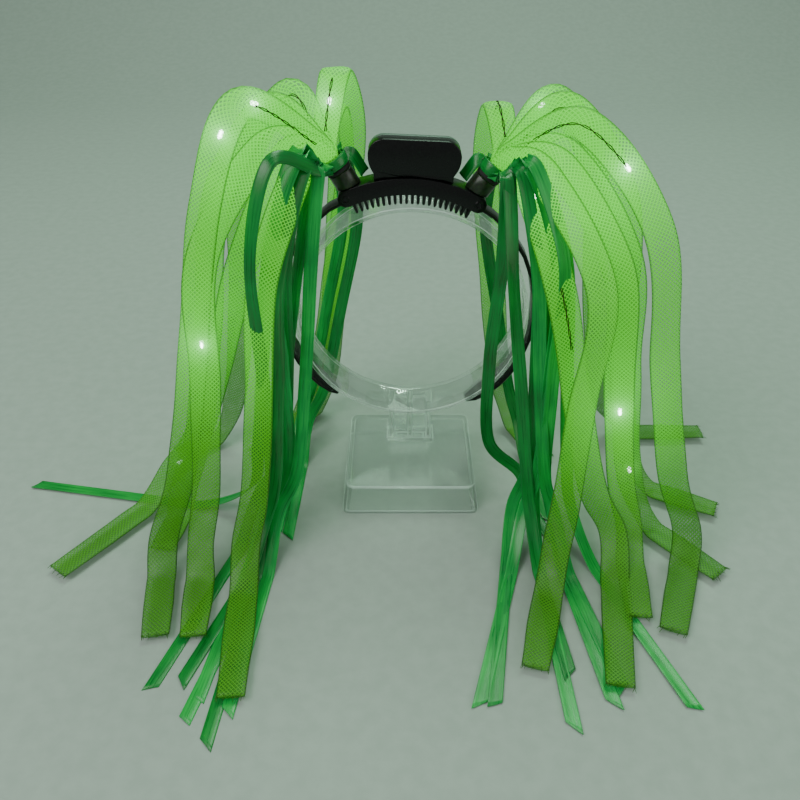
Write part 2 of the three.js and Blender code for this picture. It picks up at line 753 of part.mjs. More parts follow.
function noodles(rows, ribbonRows, side) {
  const profile = [
    [0, sleeveFloor + clearance],
    [neckRadius, sleeveFloor + clearance],
    [neckRadius, neckTop],
    [0, neckTop],
  ];
  let solid = inWorld(turned(profile, side));
  let around = tieLoop(side, clearance);
  ribbonRows.forEach((row, layer) => {
    around = around.add(ribbon(row, side, layer, clearance));
  });
  rows.forEach((row, layer) => {
    solid = solid.add(noodle(row, side, layer));
  });
  return mainBody(solid.subtract(around));
}

// The main body of a joined or cut solid, without the slivers left beside it
function mainBody(solid) {
  const smallest = clearance / 10;
  const welded = toSolid(toGeometry(solid), smallest / 2);
  const bodies = welded.simplify(smallest).decompose();
  return bodies.reduce((a, b) => (b.volume() > a.volume() ? b : a));
}

// Assembly

function finish(color, roughness, metalness = 0, opacity = 1) {
  return new THREE.MeshStandardMaterial({
    color,
    roughness,
    metalness,
    opacity,
    transparent: opacity < 1,
  });
}

const clear = finish(0xe6f2ef, 0.08, 0, 0.4);
const black = finish(0x0b0c0c, 0.35);
const cover = finish(0x202724, 0.45);
const olive = finish(0x24301a, 0.5);
const rubber = finish(0x101010, 0.7);
const lime = finish(0x7ed04a, 0.6, 0, 0.7);
const satin = finish(0x0c7a2e, 0.4);

function piece(name, solid, material) {
  const mesh = new THREE.Mesh(toGeometry(solid), material);
  mesh.name = name;
  return mesh;
}

const headband = new THREE.Group();
headband.position.set(headbandShift, 0, headbandZ);
headband.rotation.y = radians(roll);
headband.add(piece('headband', hoop(), black));
headband.add(piece('comb_bridge', combBridge(), black));
headband.add(piece('battery_case', batteryCase(), black));
headband.add(piece('battery_cover', batteryCover(), cover));

const sides = [
  { name: 'left', side: -1, tubes: LEFT_NOODLES, tapes: LEFT_RIBBONS },
  { name: 'right', side: 1, tubes: RIGHT_NOODLES, tapes: RIGHT_RIBBONS },
];
const tassels = new THREE.Group();
for (const { name, side, tubes, tapes } of sides) {
  headband.add(piece(`sleeve_${name}`, sleeve(side), olive));
  headband.add(piece(`neck_band_${name}`, hollowBand(side, bandFoot, bandHeight, bandWall), rubber));
  tassels.add(piece(`noodles_${name}`, noodles(tubes, tapes, side), lime));
  tassels.add(piece(`ribbons_${name}`, ribbons(tapes, side), satin));
}

const stand = new THREE.Group();
stand.add(piece('stand_base', standBase(), clear));
stand.add(piece('stand_ring', standRing(), clear));

const part = new THREE.Group();
part.add(stand, headband, tassels);

// The origin is the middle of the part's own outline on the floor
part.updateMatrixWorld(true);
const middle = new THREE.Box3().setFromObject(part, true).getCenter(new THREE.Vector3());
part.position.set(-middle.x, -middle.y, 0);

export default part;
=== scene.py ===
"""Light-up noodle headband on its clear ring stand.

Gives the solids their finishes, and makes the mesh tubes, satin ribbons and little lights.
"""
import math
import random

import bpy
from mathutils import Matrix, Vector


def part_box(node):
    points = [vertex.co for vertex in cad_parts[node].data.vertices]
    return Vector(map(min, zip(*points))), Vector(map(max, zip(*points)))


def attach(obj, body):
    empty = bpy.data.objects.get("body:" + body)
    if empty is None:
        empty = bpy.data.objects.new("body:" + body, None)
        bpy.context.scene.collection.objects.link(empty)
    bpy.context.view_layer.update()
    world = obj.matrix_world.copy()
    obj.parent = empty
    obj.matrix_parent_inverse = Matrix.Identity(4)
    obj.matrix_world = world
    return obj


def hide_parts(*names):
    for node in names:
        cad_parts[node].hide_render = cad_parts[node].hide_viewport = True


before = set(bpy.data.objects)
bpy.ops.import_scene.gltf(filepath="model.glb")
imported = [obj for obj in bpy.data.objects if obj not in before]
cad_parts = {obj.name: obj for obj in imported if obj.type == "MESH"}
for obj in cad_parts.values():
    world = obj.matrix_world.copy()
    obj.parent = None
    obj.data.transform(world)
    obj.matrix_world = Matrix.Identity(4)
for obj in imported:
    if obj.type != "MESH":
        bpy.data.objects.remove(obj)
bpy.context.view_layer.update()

MM = 0.001
UP = Vector((0, 0, 1))
# Toward a viewer who looks down a little
FRONT = Vector((0, -1, 0.5)).normalized()

# Middle of the stand's foot on the floor, in millimetres: every strand is drawn from there
foot_low, foot_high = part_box("stand_base")
FOOT = Vector(((foot_low.x + foot_high.x) / 2, (foot_low.y + foot_high.y) / 2, 0)) / MM

# Sizes shared with the solids, in millimetres
HEADBAND_ROLL = math.radians(2.6)
HEADBAND_SHIFT = -3
HEADBAND_Z = 114.3686
BAND_Y = 2.5
NECK_FOOT_RADIUS = 78.8
NECK_ANGLE = 24.5
NECK_LEAN = 33
NECK_RADIUS = 4.9
WRAP_INNER = 5.2
WRAP_WALL = 2.0
WRAP_FOOT = 10.8
WRAP_HEIGHT = 5
NECK_TOP = 15.8
TUBE_WIDTH = 15.5
TUBE_THICK = 4.6
TUBE_LEAD = 12
RIBBON_WIDTH = 6.6
RIBBON_SOLID_THICK = 1
RIBBON_LEAD = 5
LAYER_STEP = 0.04
SOLID_GAP = 0.3
LOOP_WIDTH = 7
LOOP_LEAN = math.radians(55)
LOOP_FOOT_RADIUS = 82.167
LOOP_FOOT_ANGLE = 17.5
STRAND_REACH = 100
ARCH_RISE = 50
SHOULDER_DROP = 42
TOUCH_HEIGHT = 20
# Between shoulder and floor: shares of the way out, of the way fore, of the height and of the sway
FALL = ((0.3, 0.35, 0.64, 0.7), (0.62, 0.7, 0.3, 1.0))
TOUCH_SHARES = (0.94, 0.95)
TAIL_SHARES = (0.25, 0.6, 1)

# Strands as in the solids: out, fore, rise, bow and sway, where each meets the floor and where it
# ends, all but the rise and bow as shares of STRAND_REACH from the neck's top
COLUMNS = ("out", "fore", "rise", "bow", "sway", "land_out", "land_fore", "tip_out", "tip_fore")
LEFT_TUBES = (
    (0.55, 0.48, 0.68, 0.66, 0, 0.97, 0.84, 0.89, 1.35),
    (0.58, 0.52, 0.25, 0.5, 0, 0.75, 0.86, 0.7, 1.35),
    (0.32, 0.5, -0.05, 0.5, 0, 0.5, 0.88, 0.45, 1.7),
    (0.42, 0.4, 0.1, 0.5, 0, 1.08, 0.28, 1.53, 0.92),
    (0.56, 0.18, 0.52, 0.5, 0, 0.95, 0.42, 1.0, 0.75),
    (0.5, -0.3, 0.55, 0.4, 0, 0.8, -0.3, 1.1, -0.1),
    (-0.08, -0.46, 0.74, 0.4, 0, 0.3, -0.48, 0.6, -0.1),
    (0.0, -0.6, 0.32, 0.5, 0, 0.2, -0.66, 0.45, -0.35),
)
RIGHT_TUBES = (
    (0.72, 0.48, 0.54, 0.5, 0, 1.12, 0.78, 0.9, 1.32),
    (0.6, 0.43, 0.24, 0.5, 0, 0.9, 0.5, 1.26, 0.94),
    (0.46, 0.6, 0.06, 0.45, 0, 0.34, 0.95, 0.17, 1.54),
    (0.56, 0.5, 0.14, 0.5, 0, 0.8, 0.74, 0.75, 1.23),
    (0.3, 0.5, -0.1, 0.5, 0, 0.71, 0.8, 0.56, 1.64),
    (0.62, 0.15, 0.6, 0.5, 0, 0.95, 0.2, 1.4, 0.43),
    (0.58, -0.35, 0.55, 0.5, 0, 0.9, -0.32, 1.54, -0.33),
    (0.0, -0.46, 0.48, 0.4, 0, 0.25, -0.5, 0.45, -0.05),
)
LEFT_RIBBONS = (
    (0.36, 0.4, 0.1, 0.68, -0.04, 0.42, 0.62, 0.53, 1.92),
    (0.28, 0.32, 0.06, 0.5, -0.06, 0.36, 0.56, 0.65, 1.8),
    (0.22, 0.25, 0.0, 0.5, -0.08, 0.5, 0.5, 0.85, 1.63),
    (0.16, 0.22, -0.04, 0.5, 0.02, 0.45, 0.5, 0.61, 1.69),
    (-0.1, -0.3, -0.06, 0.5, 0.0, 0.28, -0.22, 0.31, 0.62),
    (-0.02, -0.34, -0.04, 0.5, 0.02, 0.33, -0.27, 0.38, 0.55),
    (0.3, 0.28, 0.1, 0.5, 0.0, 0.55, 0.42, 1.93, 0.17),
    (0.24, 0.36, -0.08, 0.5, -0.02, 0.42, 0.72, 0.71, 1.6),
    (0.1, 0.26, -0.1, 0.5, -0.04, 0.36, 0.66, 0.46, 1.76),
)
RIGHT_RIBBONS = (
    (0.03, 0.19, -0.1, 0.9, -0.14, 0.25, 0.3, 0.4, 0.65),
    (0.28, 0.32, 0.02, 0.5, 0.04, 0.2, 0.66, -0.11, 1.72),
    (0.2, 0.25, -0.02, 0.5, 0.06, 0.15, 0.6, -0.04, 1.72),
    (0.25, 0.22, 0.05, 0.5, 0.0, 0.28, 0.58, 0.31, 1.84),
    (0.3, 0.38, 0.1, 0.5, -0.04, 0.38, 0.6, 0.52, 1.72),
    (0.33, 0.28, 0.05, 0.5, 0.0, 0.5, 0.6, 0.89, 1.74),
    (0.0, -0.3, -0.06, 0.5, 0.02, 0.3, -0.22, 0.4, 0.5),
    (0.07, 0.28, -0.06, 0.5, 0.02, 0.26, 0.68, 0.34, 1.56),
    (0.19, 0.32, -0.02, 0.5, -0.02, 0.4, 0.68, 0.58, 1.64),
)

# Front ribbons pass this far before the tubes where they leave the knot, in millimetres, and the
# one with this bow, which arches over the tubes on the left, still further
RIBBON_FORWARD = 10
ARCHED_RIBBON_FORWARD = 14
ARCHED_BOW = 0.68

# Width and thickness of a mesh tube, as shares, at shares of its spans from the neck
TUBE_SIZES = (
    (0, 0.4, 0.9), (0.11, 0.8, 0.9), (0.22, 1.0, 0.9), (0.56, 0.98, 0.8), (0.89, 1.02, 0.7),
    (1, 0.88, 0.5),
)

# Space between the sections that a strand is drawn through, in millimetres
TUBE_STEP = 2.4
RIBBON_STEP = 2.6
WIRE_STEP = 1.2
LIGHT_STEP = 1.0

# Where along a strand something comes and goes, in spans: it eases in, then eases out
HANGING = ((1, 2.5), (6, 7.2))
TWISTING = ((0.6, 1.8), (2.8, 4.2))
FACING = ((0, 0.5), (2.4, 3.6))
BEFORE_TUBES = ((0, 0.5), (4, 6.2))

# Seeds of the random draws, so that each run gives the same strands
TUBE_SEED = 31
RIBBON_SEED = 7

# Drawn sizes, in millimetres
RIBBON_THICK = 0.45
RIBBON_CUP = 0.4
WIRE_RADIUS = 0.25
TWIST_RADIUS = 0.42
TWIST_PITCH = 14.0
WIRE_FORWARD = 5
LIGHT_LENGTH = 4.4
LIGHT_RADIUS = 1.05
THREAD_RADIUS = 0.2
THREAD_LENGTHS = (1.2, 3.6)

# Lights seen in the tubes: which tube, how many spans along it, and how brightly it shines
LEFT_LIGHTS = ((6, 1.45, 1.0), (0, 1.8, 0.9), (0, 2.4, 0.9), (1, 3.69, 0.8), (3, 5.6, 0.4))
RIGHT_LIGHTS = ((6, 1.7, 0.8), (0, 2.5, 1.0), (4, 2.03, 0.7), (3, 4.25, 1.0), (1, 5.3, 0.4))

# Wires seen in the tubes: which tube, and the spans between which it runs
LEFT_WIRES = ((6, 1.0, 1.75), (0, 1.0, 1.85), (5, 1.1, 2.1))
RIGHT_WIRES = ((7, 1.1, 2.2), (5, 1.2, 1.95), (0, 1.1, 2.5), (4, 2.9, 3.5))


# Small helpers

def linear(code):
    """A colour written in sRGB hex, as linear RGBA."""
    parts = [int(code[i:i + 2], 16) / 255 for i in (1, 3, 5)]
    return (*((c / 12.92) if c <= 0.04045 else ((c + 0.055) / 1.055) ** 2.4 for c in parts), 1)


def ease(x):
    """A soft step from 0 to 1."""
    x = min(max(x, 0), 1)
    return x * x * (3 - 2 * x)


def during(t, span):
    """1 within a span of the strand, with soft ends."""
    (start, full), (still, end) = span
    return ease((t - start) / (full - start)) * ease((end - t) / (end - still))


def placed(point):
    """A point drawn from the foot's middle in millimetres, in metres and not under the floor."""
    at = (point + FOOT) * MM
    return Vector((at.x, at.y, max(at.z, 0)))


def polar(radius, degrees):
    """A point of the headband's plane, at a radius and at degrees from its top."""
    a = math.radians(degrees)
    return Vector((radius * math.sin(a), 0, radius * math.cos(a)))


def rolled(v):
    """Turns a direction of the headband's own frame by the headband's roll."""
    c, s = math.cos(HEADBAND_ROLL), math.sin(HEADBAND_ROLL)
    return Vector((v.x * c + v.z * s, v.y, -v.x * s + v.z * c))


def neck_at(side, height):
    """The point at a height along a tassel's neck, and the neck's direction."""
    along = polar(1, side * NECK_LEAN)
    local = polar(NECK_FOOT_RADIUS, side * NECK_ANGLE) + along * height + Vector((0, BAND_Y, 0))
    return rolled(local) + Vector((HEADBAND_SHIFT, 0, HEADBAND_Z)), rolled(along)


# Strand routes, the same as those of the solids

def strand_route(row, side, root, lead, lead_length, rest_z):
    """The points that a strand passes through, from its root over the arch to its cut end."""
    tie = neck_at(side, NECK_TOP)[0]

    def plan(out, fore, z):
        return Vector((tie.x + side * out * STRAND_REACH, tie.y - fore * STRAND_REACH, z))

    def toward(a, b, share):
        return row[a] + (row[b] - row[a]) * share

    arch_z = tie.z + row["rise"] * ARCH_RISE
    shoulder_z = arch_z - SHOULDER_DROP
    arch = plan(row["out"] * row["bow"], row["fore"] * row["bow"], arch_z)
    start = ((arch - root).normalized() + lead).normalized()
    points = [root, root + start * lead_length, arch, plan(row["out"], row["fore"], shoulder_z)]
    for out, fore, height, sway in FALL:
        points.append(plan(toward("out", "land_out", out) + row["sway"] * sway,
                           toward("fore", "land_fore", fore), shoulder_z * height))
    points.append(plan(toward("out", "land_out", TOUCH_SHARES[0]),
                       toward("fore", "land_fore", TOUCH_SHARES[1]), TOUCH_HEIGHT))
    for share in TAIL_SHARES:
        points.append(plan(toward("land_out", "tip_out", share),
                           toward("land_fore", "tip_fore", share), rest_z))
    return points


def on_curve(points, t):
    """Point and direction on the smooth curve through the points, t counted in spans."""
    i = min(int(t), len(points) - 2)
    u = t - i
    p1, p2 = points[i], points[i + 1]
    p0 = points[i - 1] if i > 0 else p1 * 2 - p2
    p3 = points[i + 2] if i + 2 < len(points) else p2 * 2 - p1
    m1, m2 = (p2 - p0) / 2, (p3 - p1) / 2
    point = (p1 * (2 * u ** 3 - 3 * u ** 2 + 1) + m1 * (u ** 3 - 2 * u ** 2 + u)
             + p2 * (3 * u ** 2 - 2 * u ** 3) + m2 * (u ** 3 - u ** 2))
    ahead = (p1 * (6 * u ** 2 - 6 * u) + m1 * (3 * u ** 2 - 4 * u + 1)
             + p2 * (6 * u - 6 * u ** 2) + m2 * (3 * u ** 2 - 2 * u))
    return point, ahead.normalized()


def even_times(points, step):
    """Places along the curve, one step of length apart, counted in spans."""
    spans, parts = len(points) - 1, 600
    fine = [spans * i / parts for i in range(parts + 1)]
    spots = [on_curve(points, t)[0] for t in fine]
    runs = [0.0]
    for a, b in zip(spots, spots[1:]):
        runs.append(runs[-1] + (b - a).length)
    count = max(8, round(runs[-1] / step))
    times, k = [], 0
    for i in range(count + 1):
        want = runs[-1] * i / count
        while k < parts - 1 and runs[k + 1] < want:
            k += 1
        share = (want - runs[k]) / max(runs[k + 1] - runs[k], 1e-9)
        times.append(fine[k] + (fine[k + 1] - fine[k]) * min(max(share, 0), 1))
    return times


def stations(points, width_at, side, rest_z, step):
    """Along a route: place in spans, length so far, point, way ahead and width direction."""
    spans = len(points) - 1
    outward = Vector((side, 0, 0))
    tail = points[-1] - points[-3]
    tail_width = Vector((-tail.y, tail.x, 0)).normalized()
    if tail_width.dot(outward) < 0:
        tail_width.negate()
    made, run, last = [], 0.0, None
    for t in even_times(points, step):
        point, ahead = on_curve(points, t)
        point.z = max(point.z, rest_z)
        # Over its last spans the strand comes to lie on the floor with its flat side down
        lying = ease((t - spans + 2.6) / 0.6)
        ahead = ahead.lerp(Vector((ahead.x, ahead.y, 0)), lying).normalized()
        width = width_at(t, ahead).lerp(tail_width, ease((t - 5) / 2))
        width = (width - ahead * width.dot(ahead)).normalized()
        run += (point - last).length if last else 0
        last = point
        made.append({"t": t, "along": t / spans, "run": run, "point": point, "ahead": ahead,
                     "width": width})
    return made


def tube_stations(row, side, layer, step):
    """The stations of a tube, which leaves the neck's top."""
    root, lead = neck_at(side, NECK_TOP - 1)
    rest_z = RIBBON_SOLID_THICK + 2 * SOLID_GAP + TUBE_THICK / 2 + layer * LAYER_STEP
    route = strand_route(row, side, root, lead, TUBE_LEAD, rest_z)

    def width_at(_t, ahead):
        if row["out"] > 0.2:
            return Vector((-ahead.z * side, 0, ahead.x * side)).normalized()
        return Vector((side, 0, 0))

    return stations(route, width_at, side, rest_z, step)


def ribbon_stations(row, side, layer):
    """The stations of a ribbon, which leaves the wrap on the side it hangs to."""
    # Each ribbon leaves the wrap a little higher than the one before
    root_share = 0.15 + 0.7 * layer / (len(LEFT_RIBBONS) - 1)
    point, along = neck_at(side, WRAP_FOOT + WRAP_HEIGHT * root_share)
    toward = Vector((side * row["out"], -row["fore"], 0))
    toward = (toward - along * toward.dot(along)).normalized()
    root = point + toward * (WRAP_INNER + WRAP_WALL / 2)
    lead = (toward + along * 0.35).normalized()
    rest_z = RIBBON_SOLID_THICK / 2 + layer * LAYER_STEP
    outward = Vector((side, 0, 0))
    first = lead.cross(UP).normalized()
    if first.dot(outward) < 0:
        first.negate()
    route = strand_route(row, side, root, lead, RIBBON_LEAD, rest_z)
    return stations(route, lambda t, _ahead: first.lerp(outward, ease((t - 2) / 1.5)),
                    side, rest_z, RIBBON_STEP)


def rows(table):
    """The strands of a table, each with its numbers by name."""
    return [dict(zip(COLUMNS, row)) for row in table]


def size_at(table, along):
    """Width and thickness from a table of shares, at a share of the way along."""
    for (a0, w0, h0), (a1, w1, h1) in zip(table, table[1:]):
        if along <= a1:
            s = (along - a0) / (a1 - a0)
            return w0 + (w1 - w0) * s, h0 + (h1 - h0) * s
    return table[-1][1:]


# Meshes

class Skin:
    """Collects closed strips and tubes that become one mesh.

    Each point can carry a few named numbers from 0 to 1, which the material reads.
    """

    def __init__(self, *names):
        self.points, self.faces, self.uvs = [], [], []
        self.marks = {name: [] for name in names}

    def loft(self, rings, runs, **marks):
        """Adds a closed form through rings of points in millimetres, capped at both ends.

        runs gives each ring's place along the form in metres. A mark is one number for the
        whole form, or a list of lists with one for each point.
        """
        first, sides = len(self.points), len(rings[0])
        across = [section_lengths(ring) for ring in rings]
        for i, ring in enumerate(rings):
            self.points += [placed(p) for p in ring]
            for name, values in self.marks.items():
                mark = marks.get(name, 0)
                values += mark[i] if isinstance(mark, list) else [mark] * sides
        for i in range(len(rings) - 1):
            for j in range(sides):
                k = (j + 1) % sides
                a = first + i * sides
                self.faces.append((a + j, a + k, a + sides + k, a + sides + j))
                u0, u1 = across[i][j], across[i][j + 1]
                v0, v1 = runs[i], runs[i + 1]
                self.uvs += [(u0, v0), (u1, v0), (u1, v1), (u0, v1)]
        last = first + (len(rings) - 1) * sides
        for base, order, v in ((first, range(sides - 1, -1, -1), runs[0]),
                               (last, range(sides), runs[-1])):
            self.faces.append(tuple(base + j for j in order))
            self.uvs += [(across[0][j], v) for j in order]

    def piece(self, name, material, replaces=()):
        """Makes the mesh and its object, which rides on the part's one body."""
        mesh = bpy.data.meshes.new(name)
        mesh.from_pydata(self.points, [], self.faces)
        layer = mesh.uv_layers.new(name="UVMap")
        layer.data.foreach_set("uv", [c for uv in self.uvs for c in uv])
        for mark, values in self.marks.items():
            mesh.attributes.new(mark, "FLOAT", "POINT").data.foreach_set("value", values)
        mesh.polygons.foreach_set("use_smooth", [True] * len(mesh.polygons))
        mesh.materials.append(material)
        obj = bpy.data.objects.new(name, mesh)
        bpy.context.collection.objects.link(obj)
        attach(obj, "root")
        if replaces:
            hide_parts(*replaces)
        return obj


def section_lengths(ring):
    """Length round a ring of points up to each one and back to the first, in metres."""
    total = [0.0]
    for a, b in zip(ring, ring[1:] + ring[:1]):
        total.append(total[-1] + (b - a).length * MM)
    return total


def round_ring(centre, ahead, radius, sides, squash=0.0):
    """A round section square to the way ahead, with a few soft flutes if squash is set."""
    u = ahead.cross(Vector((0, 1, 0.2))).normalized()
    v = ahead.cross(u).normalized()
    ring = []
    for j in range(sides):
        a = 2 * math.pi * j / sides
        r = radius * (1 + squash * math.cos(8 * a))
        ring.append(centre + u * (r * math.cos(a)) + v * (r * math.sin(a)))
    return ring


# Half the section of a flattened tube: share of the width, closely spaced at the folded edges
FOLD_STEPS = (0.5, 0.47, 0.44, 0.36, 0.22, 0.08)


def tube_ring(st, wide, thick):
    """A flattened tube's section: two bowed walls that meet in sharp folds at both edges."""
    normal = st["ahead"].cross(st["width"])
    top = FOLD_STEPS + tuple(-x for x in FOLD_STEPS[::-1])
    ring = []
    for sign, shares in ((1, top), (-1, top[-2:0:-1])):
        for x in shares:
            y = sign * 0.5 * (1 - abs(2 * x) ** 3) ** 0.7
            ring.append(st["point"] + st["width"] * (x * wide) + normal * (y * thick))
    return ring


# How much each point of the section belongs to a fold, the upper wall first
FOLD_MARKS = [1.0, 0.7] + [0.0] * 8 + [0.7, 1.0] + [0.7] + [0.0] * 8 + [0.7]


def livened(st, seed, amount):
    """Turns and shifts a station a little, as a limp strand does between neck and floor."""
    long_wave, short_wave, turn_wave, swing = 31, 13, 43, 1.1
    run, hang = st["run"], during(st["t"], HANGING)
    wave = (math.sin(run / long_wave + seed) * 0.6
            + math.sin(run / short_wave + 2.3 * seed) * 0.4)
    turn = amount * hang * math.sin(run / turn_wave + 1.7 * seed)
    normal = st["ahead"].cross(st["width"])
    width = (st["width"] * math.cos(turn) + normal * math.sin(turn)).normalized()
    return {**st, "point": st["point"] + normal * wave * hang * swing, "width": width}


def tube_path(table, side, tube, step=TUBE_STEP):
    """The livened stations of one mesh tube."""
    return [livened(st, tube * 1.9 + side, 0.22)
            for st in tube_stations(rows(table)[tube], side, tube, step)]


def lit(point, spots):
    """The white shine close to a light, from 0 to 1: a bright core and a weaker halo."""
    core, halo = 3, 9
    total = 0
    for spot, power in spots:
        d = (point - spot).length
        total += power * (0.7 * math.exp(-(d / core) ** 2) + 0.28 * math.exp(-(d / halo) ** 2))
    return min(total, 1)


def glow(point, spots):
    """The green glow painted into the mesh, from 0 low down to 1: half of it rises with height, so
    tubes low down are painted darker, and half spreads from the lights.
    """
    dark_below, rise, reach = 15, 150, 38
    total = 0.5 * ease((point.z - dark_below) / rise)
    for spot, power in spots:
        total += 0.5 * power * math.exp(-((point - spot).length / reach) ** 2)
    return min(total, 1)


def mesh_tubes(side, word, table, spots, material):
    """A tassel's mesh tubes, with the frayed threads at their cut ends as a piece of their own."""
    skin = Skin("lit", "glow", "fold", "tone")
    threads = Skin("lit", "glow", "fold", "tone")
    rng = random.Random(TUBE_SEED + side)
    for tube in range(len(table)):
        path = tube_path(table, side, tube)
        rings = []
        for st in path:
            w, h = size_at(TUBE_SIZES, st["along"])
            crimp = 1 + 0.02 * math.sin(st["run"] / 9 + tube) * ease((st["t"] - 1) / 2)
            rings.append(tube_ring(st, TUBE_WIDTH * w * crimp, TUBE_THICK * h))
        shine = [[lit(p, spots) for p in ring] for ring in rings]
        spread = [[glow(p, spots) for p in ring] for ring in rings]
        folds = [[f * ease(st["t"]) for f in FOLD_MARKS] for st in path]
        skin.loft(rings, [st["run"] * MM for st in path], lit=shine, glow=spread,
                  fold=folds, tone=rng.random())
        fray(threads, path[-1], rings[-1], rng)
    neck_stub(skin, side)
    skin.piece(f"mesh_tubes_{word}", material, (f"noodles_{word}",))
    threads.piece(f"frayed_threads_{word}", material)


def fray(skin, end, ring, rng):
    """Loose thread ends that stand out of a tube's cut end."""
    for p in ring[::2]:
        way = end["ahead"] + end["width"] * rng.uniform(-0.5, 0.5) + UP * rng.uniform(-0.1, 0.35)
        long = rng.uniform(*THREAD_LENGTHS)
        base = p - end["ahead"] * 1.0
        rings, runs = [], []
        for i in range(4):
            at = base + way * (long * i / 3) + UP * (-0.3 * (i / 3) ** 2)
            at.z = max(at.z, 0.4)
            rings.append(round_ring(at, way.normalized(), THREAD_RADIUS - 0.03 * i, 4))
            runs.append(i * MM)
        skin.loft(rings, runs, fold=1.0, tone=0.8)


def neck_stub(skin, side):
    """The gathered tube ends inside the sleeve, the bands and the wrap."""
    rings, runs = [], []
    # Height along the neck in millimetres, and share of its radius
    for h, r in ((1.9, 0.96), (6, 0.97), (11, 0.97), (14.6, 0.98), (15.8, 0.8)):
        centre, along = neck_at(side, h)
        rings.append(round_ring(centre, along, NECK_RADIUS * r, 32, 0.02))
        runs.append(h * MM)
    skin.loft(rings, runs, fold=0.6)


def light_wires(side, word, table, wires, material):
    """Pairs of thin twisted wires, drawn on the front wall of some tubes so that they show.

    Near the neck, where the tubes lie over each other, they come forward of the whole bundle.
    """
    skin = Skin()
    for tube, start, stop in wires:
        path = [st for st in tube_path(table, side, tube, WIRE_STEP) if start <= st["t"] <= stop]
        for phase in (0, math.pi):
            rings = []
            for st in path:
                a = 2 * math.pi * st["run"] / TWIST_PITCH + phase
                normal = st["ahead"].cross(st["width"])
                wall = math.copysign(TUBE_THICK * size_at(TUBE_SIZES, st["along"])[1] / 2,
                                     normal.dot(FRONT))
                forward = FRONT * (WIRE_FORWARD * (1 - ease((st["t"] - 0.4) / 1.6)))
                at = (st["point"] + st["width"] * (TWIST_RADIUS * math.cos(a))
                      + normal * (wall * 0.97 + WIRE_RADIUS * 0.6 * math.sin(a)) + forward)
                rings.append(round_ring(at, st["ahead"], WIRE_RADIUS, 6))
            skin.loft(rings, [st["run"] * MM for st in path])
    skin.piece(f"light_wires_{word}", material)


def little_lights(word, spots, material):
    """Small round-ended lights, one at each bright spot in the tubes."""
    skin = Skin()
    for st, _power in spots:
        rings, runs = [], []
        for i in range(9):
            x = -1 + 2 * i / 8
            r = LIGHT_RADIUS * max(1 - abs(x) ** 4, 0.02) ** 0.5
            at = st["point"] + FRONT * (TUBE_THICK / 4) + st["ahead"] * (x * LIGHT_LENGTH / 2)
            rings.append(round_ring(at, st["ahead"], r, 12))
            runs.append(i * MM)
        skin.loft(rings, runs)
    skin.piece(f"little_lights_{word}", material)


def ribbons(side, word, table, material):
    """A tassel's satin ribbons, the wrap they leave from and the tie's folded end."""
    skin = Skin("tone")
    rng = random.Random(RIBBON_SEED + side)
    for layer, row in enumerate(rows(table)):
        before = RIBBON_FORWARD if row["fore"] > 0 else 0
        before = ARCHED_RIBBON_FORWARD if row["bow"] == ARCHED_BOW else before
        add_ribbon(skin, ribbon_stations(row, side, layer), side * 3 + layer, rng, before)
    wrap(skin, side)
    tie_loop(skin, side)
    skin.piece(f"satin_ribbons_{word}", material, (f"ribbons_{word}",))


def strip_ring(st, wide, thick, cup=0.0, slant=0.0):
    """A flat strip's section, a little hollow across its width."""
    normal = st["ahead"].cross(st["width"])
    xs = [-0.5, -0.46, -0.3, -0.1, 0.1, 0.3, 0.46, 0.5]
    ring = []
    for sign, order in ((-1, xs), (1, xs[::-1])):
        for x in order:
            edge = 0.35 if abs(x) == 0.5 else 1
            lift = cup * (4 * x * x) + sign * edge * thick / 2
            ring.append(st["point"] + st["width"] * (x * wide) + normal * lift
                        + st["ahead"] * (slant * x * wide))
    return ring


def add_ribbon(skin, path, seed, rng, before):
    """One hanging ribbon, twisting most just below its knot, with a slanted cut end."""
    rings = []
    slant = rng.choice((-0.9, -0.5, 0.6, 1.0))
    twist = rng.uniform(0.25, 0.6) * rng.choice((-1, 1))
    for i, st in enumerate(path):
        st = livened(st, seed * 1.3, 0.2 + abs(twist) * during(st["t"], TWISTING))
        face = st["ahead"].cross(FRONT).normalized()
        if face.dot(st["width"]) < 0:
            face.negate()
        st["width"] = st["width"].lerp(face, 0.75 * during(st["t"], FACING)).normalized()
        st["point"] = st["point"] + FRONT * (before * during(st["t"], BEFORE_TUBES))
        end = ease((i - (len(path) - 4)) / 3)
        rings.append(strip_ring(st, RIBBON_WIDTH * 1.04, RIBBON_THICK, RIBBON_CUP, slant * end))
    skin.loft(rings, [st["run"] * MM for st in path], tone=rng.random())


def wrap(skin, side):
    """The ribbon wound three times round the neck, each turn over the one before."""
    turns, steps, turn_rise, wander = 3, 96, 0.7, 0.45
    path = []
    for i in range(steps + 1):
        a = 2 * math.pi * turns * i / steps
        radius = WRAP_INNER + 0.5 + turn_rise * i / steps * turns
        middle = WRAP_FOOT + WRAP_HEIGHT / 2 + wander * math.sin(a / 2 + side)
        centre, along = neck_at(side, middle)
        u = along.cross(Vector((0, 1, 0))).normalized()
        v = along.cross(u).normalized()
        out = u * math.cos(a) + v * math.sin(a)
        ahead = v * math.cos(a) - u * math.sin(a)
        width = (along + ahead * 0.08).normalized()
        ahead = (ahead - width * ahead.dot(width)).normalized()
        path.append({"run": radius * a, "point": centre + out * radius, "ahead": ahead,
                     "width": width})
    rings = [strip_ring(st, WRAP_HEIGHT, RIBBON_THICK, -0.2) for st in path]
    skin.loft(rings, [st["run"] * MM for st in path], tone=0.1)


